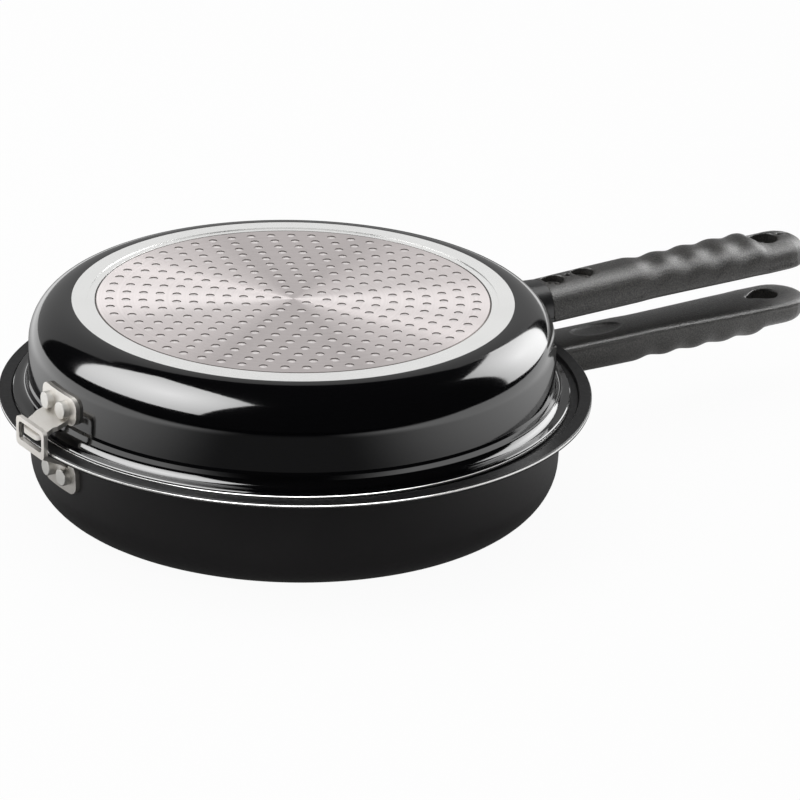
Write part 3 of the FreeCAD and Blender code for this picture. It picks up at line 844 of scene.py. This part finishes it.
def make_floor():
    """Pale floor that keeps shadows. Reflections see a glow that changes over it."""
    mesh = bpy.data.meshes.new("floor")
    reach = FLOOR_REACH
    corners = [(-reach, -reach, 0), (reach, -reach, 0), (reach, reach, 0), (-reach, reach, 0)]
    mesh.from_pydata(corners, [], [(0, 1, 2, 3)])
    floor = add_object("floor", mesh)
    material, shader = new_material("floor_white", color=(0.9, 0.9, 0.9), roughness=0.9)
    path = add_node(material, "ShaderNodeLightPath")
    beside = floor_distance(material, TO_SIDE, both_ways=True)
    beside = stretched(material, beside, FLOOR_DIM, FLOOR_BRIGHT, FLOOR_BRIGHT_REACH, "SMOOTHSTEP")
    ahead = floor_distance(material, TO_FRONT, both_ways=False)
    ahead = stretched(material, ahead, 1.0, 0.0, FLOOR_DARK_REACH, "SMOOTHSTEP")
    # Glow seen only in reflections: a painted shadow at the object and painted light beside it
    mirrored = add_node(material, "ShaderNodeEmission")
    link(material, calculated(material, "MULTIPLY", beside, ahead), mirrored.inputs["Strength"])
    white = add_node(material, "ShaderNodeEmission", Strength=1.0)
    glow = calculated(material, "MULTIPLY", path.outputs["Is Camera Ray"], FLOOR_GLOW)
    seen = mixed_shader(material, glow, shader.outputs[0], white.outputs[0])
    result = mixed_shader(material, path.outputs["Is Glossy Ray"], seen, mirrored.outputs[0])
    link(material, result, material.node_tree.nodes["Material Output"].inputs["Surface"])
    mesh.materials.append(material)


def floor_distance(owner, direction, both_ways):
    """Distance from the object along a level direction, or along it and against it."""
    along = add_node(owner, "ShaderNodeVectorMath", operation="DOT_PRODUCT")
    link(owner, object_coordinates(owner), along.inputs[0])
    along.inputs[1].default_value = direction
    distance = along.outputs["Value"]
    if both_ways:
        distance = calculated(owner, "ABSOLUTE", distance)
    return distance


def seen_rays(owner):
    """1 for camera, glossy and transmission rays and 0 for the rest."""
    path = add_node(owner, "ShaderNodeLightPath")
    value = path.outputs["Is Camera Ray"]
    for name in ("Is Glossy Ray", "Is Transmission Ray"):
        value = calculated(owner, "MAXIMUM", value, path.outputs[name])
    return value


def make_world():
    world = bpy.data.worlds.new("studio")
    bpy.context.scene.world = world
    world.use_nodes = True
    background = world.node_tree.nodes["Background"]
    background.inputs["Color"].default_value = (1, 1, 1, 1)
    strength = stretched(world, seen_rays(world), low=WORLD_STRENGTH, high=1.0)
    link(world, strength, background.inputs["Strength"])


def toward(azimuth, height):
    turn = math.radians(azimuth)
    rise = math.radians(height)
    return Vector((math.cos(turn) * math.cos(rise), math.sin(turn) * math.cos(rise), math.sin(rise)))


def make_lamp(name, lamp_values, receivers):
    """Square lamp. With receivers it shows only in their reflections, and otherwise in none."""
    direction, distance, facing, roll, width, height, brightness = lamp_values
    data = bpy.data.lights.new(name, "AREA")
    data.shape = "RECTANGLE"
    data.size = width
    data.size_y = height
    data.energy = brightness * math.pi * width * height
    lamp = add_object(name, data)
    turn = (-toward(*facing)).to_track_quat("-Z", "Y").to_matrix().to_4x4()
    turn @= Matrix.Rotation(math.radians(roll), 4, "Z")
    lamp.matrix_world = Matrix.Translation(AIM + distance * toward(*direction)) @ turn
    lamp.visible_camera = False
    lamp.visible_diffuse = receivers is None
    lamp.visible_glossy = receivers is not None
    lamp.light_linking.receiver_collection = receivers
    return lamp


def soften_lamp(lamp):
    """Cloth of a softbox: brightest in its middle and dimmer towards its edges."""
    data = lamp.data
    data.use_nodes = True
    place = add_node(data, "ShaderNodeNewGeometry")
    reach = add_node(data, "ShaderNodeVectorMath", operation="DISTANCE")
    reach.inputs[1].default_value = CLOTH_MIDDLE_SHARES
    link(data, place.outputs["Parametric"], reach.inputs[0])
    strength = stretched(data, reach.outputs["Value"], *CLOTH_SHARES)
    link(data, strength, data.node_tree.nodes["Emission"].inputs["Strength"])


def make_receivers():
    """Collections of the pieces that mirror each group of lamps."""
    receivers = {"fill": None}
    for group in ("black", *LAMP_WORDS):
        receivers[group] = bpy.data.collections.new(group + "_receivers")
    for piece in bpy.data.objects:
        if piece.type != "MESH":
            continue
        groups = [group for group, words in LAMP_WORDS.items() if any(word in piece.name for word in words)]
        if groups in ([], ["handle"]):
            groups.append("black")
        for group in groups:
            receivers[group].objects.link(piece)
    return receivers


def make_lamps(receivers):
    for group, lamps in LAMPS.items():
        for count, lamp_values in enumerate(lamps):
            lamp = make_lamp(group + "_lamp_" + str(count), lamp_values, receivers[group])
            if group == "black":
                soften_lamp(lamp)


def make_panel(name, low_azimuth, high_azimuth, low_height, high_height, glow):
    """Part of a dome round the object, seen only in reflections."""
    grid = []
    for i in range(PANEL_STEPS + 1):
        for k in range(PANEL_STEPS + 1):
            azimuth = low_azimuth + (high_azimuth - low_azimuth) * i / PANEL_STEPS
            height = low_height + (high_height - low_height) * k / PANEL_STEPS
            grid.append(AIM + DOME_RADIUS * toward(azimuth, height))
    faces = []
    for i in range(PANEL_STEPS):
        for k in range(PANEL_STEPS):
            first = i * (PANEL_STEPS + 1) + k
            beside = first + PANEL_STEPS + 1
            faces.append((first, first + 1, beside + 1, beside))
    material, _ = new_material(
        name + "_cloth", color=(0, 0, 0), roughness=1.0, Specular_IOR_Level=0.0,
        Emission_Color=(1, 1, 1, 1), Emission_Strength=glow)
    panel = mesh_piece(name, grid, faces, [0] * len(faces), [material])
    for ray in ("camera", "diffuse", "transmission", "volume_scatter", "shadow"):
        setattr(panel, "visible_" + ray, False)


def make_camera():
    data = bpy.data.cameras.new("camera")
    data.lens = CAMERA_LENS
    data.sensor_width = SENSOR_WIDTH
    camera = add_object("camera", data)
    turn = Matrix.Rotation(-math.radians(CAMERA_HEADING), 4, "Z")
    turn @= Matrix.Rotation(math.radians(90 - CAMERA_DIP), 4, "X")
    turn @= Matrix.Rotation(math.radians(CAMERA_ROLL), 4, "Z")
    camera.matrix_world = Matrix.Translation(CAMERA_PLACE) @ turn
    bpy.context.scene.camera = camera


make_world()
make_camera()
make_pans()
make_handles()
dress_nodes()
receivers = make_receivers()
make_floor()
make_lamps(receivers)
for place, panel in enumerate(PANELS):
    make_panel("panel_" + str(place), *panel)
bpy.context.scene.view_settings.view_transform = "Standard"
